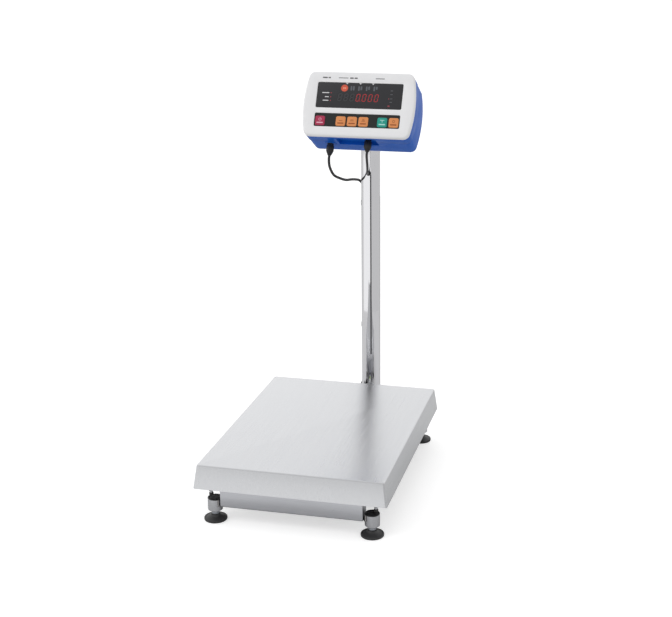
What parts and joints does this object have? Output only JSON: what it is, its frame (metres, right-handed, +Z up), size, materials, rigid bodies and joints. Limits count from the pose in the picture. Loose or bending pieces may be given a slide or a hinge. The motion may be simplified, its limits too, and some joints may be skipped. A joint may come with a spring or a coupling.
{
  "type": "bench scale",
  "caption": "Floor-standing bench scale: a skirted stainless pan over a load cell and welded base, with a pole behind that carries a tilting display head.",
  "frame": {"origin": "on the floor, under the middle of the scale's length and width", "axes": "+Z up, +X to the right as the user faces the display, +Y from the user towards the pole"},
  "size_m": [0.39, 0.745, 0.8146],
  "materials": {
    "pan_steel": "fine satin stainless steel",
    "frame_steel": "satin stainless steel",
    "cell_alloy": "milled and clear anodised",
    "bolt_steel": "turned stainless steel",
    "pole_steel": "mirror-polished stainless steel",
    "foot_rubber": "matt moulded rubber",
    "black_plastic": "moulded nylon, fine texture",
    "grommet_rubber": "soft moulded rubber",
    "cable_jacket": "smooth black PVC jacket",
    "level_vial": "clear moulded vial with green-yellow liquid",
    "bezel_white": "white moulded ABS",
    "housing_blue": "blue moulded ABS, semi-gloss",
    "window_smoked": "smoked acrylic",
    "strip_dark": "dark printed polycarbonate",
    "key_red": "soft moulded key cap",
    "key_green": "soft moulded key cap",
    "key_orange": "soft moulded key cap",
    "circuit_board": "green circuit board with parts"
  },
  "bodies": {
    "base": {"pan_cushion_front_left": "foot_rubber", "pan_cushion_front_right": "foot_rubber", "pan_cushion_rear_left": "foot_rubber", "pan_cushion_rear_right": "foot_rubber", "pan_support": "frame_steel", "load_cell": "cell_alloy", "load_cell_bolt_lower_1": "bolt_steel", "load_cell_bolt_lower_2": "bolt_steel", "load_cell_bolt_upper_1": "bolt_steel", "load_cell_bolt_upper_2": "bolt_steel", "front_cross_member": "frame_steel", "rear_cross_member": "frame_steel", "centre_channel": "frame_steel", "rear_beam": "frame_steel", "foot_cap_front_left": "black_plastic", "foot_cap_front_right": "black_plastic", "foot_cap_rear_left": "black_plastic", "foot_cap_rear_right": "black_plastic", "bubble_level": "level_vial", "pole_base": "frame_steel", "pole_base_bolt_1": "bolt_steel", "pole_base_bolt_2": "bolt_steel", "pole": "pole_steel", "pole_screw": "bolt_steel", "pole_grommet": "grommet_rubber", "pole_head": "frame_steel", "load_cell_cable": "cable_jacket", "power_cord": "cable_jacket", "power_cord_coil": "cable_jacket", "power_plug": "black_plastic", "cord_clip_upper": "black_plastic", "cord_clip_lower": "black_plastic"},
    "pan": {"weighing_pan": "pan_steel"},
    "head": {"head_bracket": "frame_steel", "tilt_bolt": "bolt_steel", "rear_housing": "housing_blue", "front_bezel": "bezel_white", "display_window": "window_smoked", "key_panel": "strip_dark", "main_board": "circuit_board", "digit_display": "circuit_board", "power_gland": "black_plastic", "cell_gland": "black_plastic"},
    "knob_left": {"tilt_knob_left": "black_plastic"},
    "knob_right": {"tilt_knob_right": "black_plastic"},
    "key_power_cap": {"key_power": "key_red"},
    "key_left_cap": {"key_left": "key_orange"},
    "key_middle_cap": {"key_middle": "key_orange"},
    "key_right_cap": {"key_right": "key_orange"},
    "key_tare_cap": {"key_tare": "key_green"},
    "key_zero_cap": {"key_zero": "key_orange"},
    "foot_front_left": {"foot_pad_front_left": "foot_rubber"},
    "stud_front_left": {"foot_stud_front_left": "bolt_steel"},
    "foot_front_right": {"foot_pad_front_right": "foot_rubber"},
    "stud_front_right": {"foot_stud_front_right": "bolt_steel"},
    "foot_rear_left": {"foot_pad_rear_left": "foot_rubber"},
    "stud_rear_left": {"foot_stud_rear_left": "bolt_steel"},
    "foot_rear_right": {"foot_pad_rear_right": "foot_rubber"},
    "stud_rear_right": {"foot_stud_rear_right": "bolt_steel"}
  },
  "joints": [
    {"name": "pan_lift", "type": "slide", "parent": "base", "child": "pan", "axis": [0, 0, 1], "range_m": [0, 0.04]},
    {"name": "display_tilt", "type": "hinge", "parent": "base", "child": "head", "pos_m": [0, 0.3265, 0.69], "axis": [1, 0, 0], "range_deg": [-30, 18], "deforming": ["load_cell_cable", "power_cord"]},
    {"name": "knob_left_turn", "type": "hinge", "parent": "head", "child": "knob_left", "pos_m": [-0.034, 0.3265, 0.69], "axis": [-1, 0, 0], "range_deg": [0, 360]},
    {"name": "knob_right_turn", "type": "hinge", "parent": "head", "child": "knob_right", "pos_m": [0.034, 0.3265, 0.69], "axis": [1, 0, 0], "range_deg": [0, 360]},
    {"name": "key_power_press", "type": "slide", "parent": "head", "child": "key_power_cap", "axis": [0, 0.8878, -0.4602], "range_m": [0, 0.0005], "stiffness_N_per_m": 2500, "springref_m": -0.0003},
    {"name": "key_left_press", "type": "slide", "parent": "head", "child": "key_left_cap", "axis": [0, 0.8878, -0.4602], "range_m": [0, 0.0005], "stiffness_N_per_m": 2500, "springref_m": -0.0003},
    {"name": "key_middle_press", "type": "slide", "parent": "head", "child": "key_middle_cap", "axis": [0, 0.8878, -0.4602], "range_m": [0, 0.0005], "stiffness_N_per_m": 2500, "springref_m": -0.0003},
    {"name": "key_right_press", "type": "slide", "parent": "head", "child": "key_right_cap", "axis": [0, 0.8878, -0.4602], "range_m": [0, 0.0005], "stiffness_N_per_m": 2500, "springref_m": -0.0003},
    {"name": "key_tare_press", "type": "slide", "parent": "head", "child": "key_tare_cap", "axis": [0, 0.8878, -0.4602], "range_m": [0, 0.0005], "stiffness_N_per_m": 2500, "springref_m": -0.0003},
    {"name": "key_zero_press", "type": "slide", "parent": "head", "child": "key_zero_cap", "axis": [0, 0.8878, -0.4602], "range_m": [0, 0.0005], "stiffness_N_per_m": 2500, "springref_m": -0.0003},
    {"name": "foot_front_left_height", "type": "slide", "parent": "base", "child": "foot_front_left", "axis": [0, 0, 1], "range_m": [-0.012, 0]},
    {"name": "stud_front_left_turn", "type": "hinge", "parent": "foot_front_left", "child": "stud_front_left", "pos_m": [-0.16, -0.3445, 0.03], "axis": [0, 0, 1], "range_deg": [-2480, 0]},
    {"name": "foot_front_right_height", "type": "slide", "parent": "base", "child": "foot_front_right", "axis": [0, 0, 1], "range_m": [-0.012, 0]},
    {"name": "stud_front_right_turn", "type": "hinge", "parent": "foot_front_right", "child": "stud_front_right", "pos_m": [0.16, -0.3445, 0.03], "axis": [0, 0, 1], "range_deg": [-2480, 0]},
    {"name": "foot_rear_left_height", "type": "slide", "parent": "base", "child": "foot_rear_left", "axis": [0, 0, 1], "range_m": [-0.012, 0]},
    {"name": "stud_rear_left_turn", "type": "hinge", "parent": "foot_rear_left", "child": "stud_rear_left", "pos_m": [-0.16, 0.1385, 0.03], "axis": [0, 0, 1], "range_deg": [-2480, 0]},
    {"name": "foot_rear_right_height", "type": "slide", "parent": "base", "child": "foot_rear_right", "axis": [0, 0, 1], "range_m": [-0.012, 0]},
    {"name": "stud_rear_right_turn", "type": "hinge", "parent": "foot_rear_right", "child": "stud_rear_right", "pos_m": [0.16, 0.1385, 0.03], "axis": [0, 0, 1], "range_deg": [-2480, 0]}
  ],
  "couplings": [
    {"joint": "stud_front_left_turn", "follows": "foot_front_left_height", "rad_per_m": 3590.4},
    {"joint": "stud_front_right_turn", "follows": "foot_front_right_height", "rad_per_m": 3590.4},
    {"joint": "stud_rear_left_turn", "follows": "foot_rear_left_height", "rad_per_m": 3590.4},
    {"joint": "stud_rear_right_turn", "follows": "foot_rear_right_height", "rad_per_m": 3590.4}
  ]
}
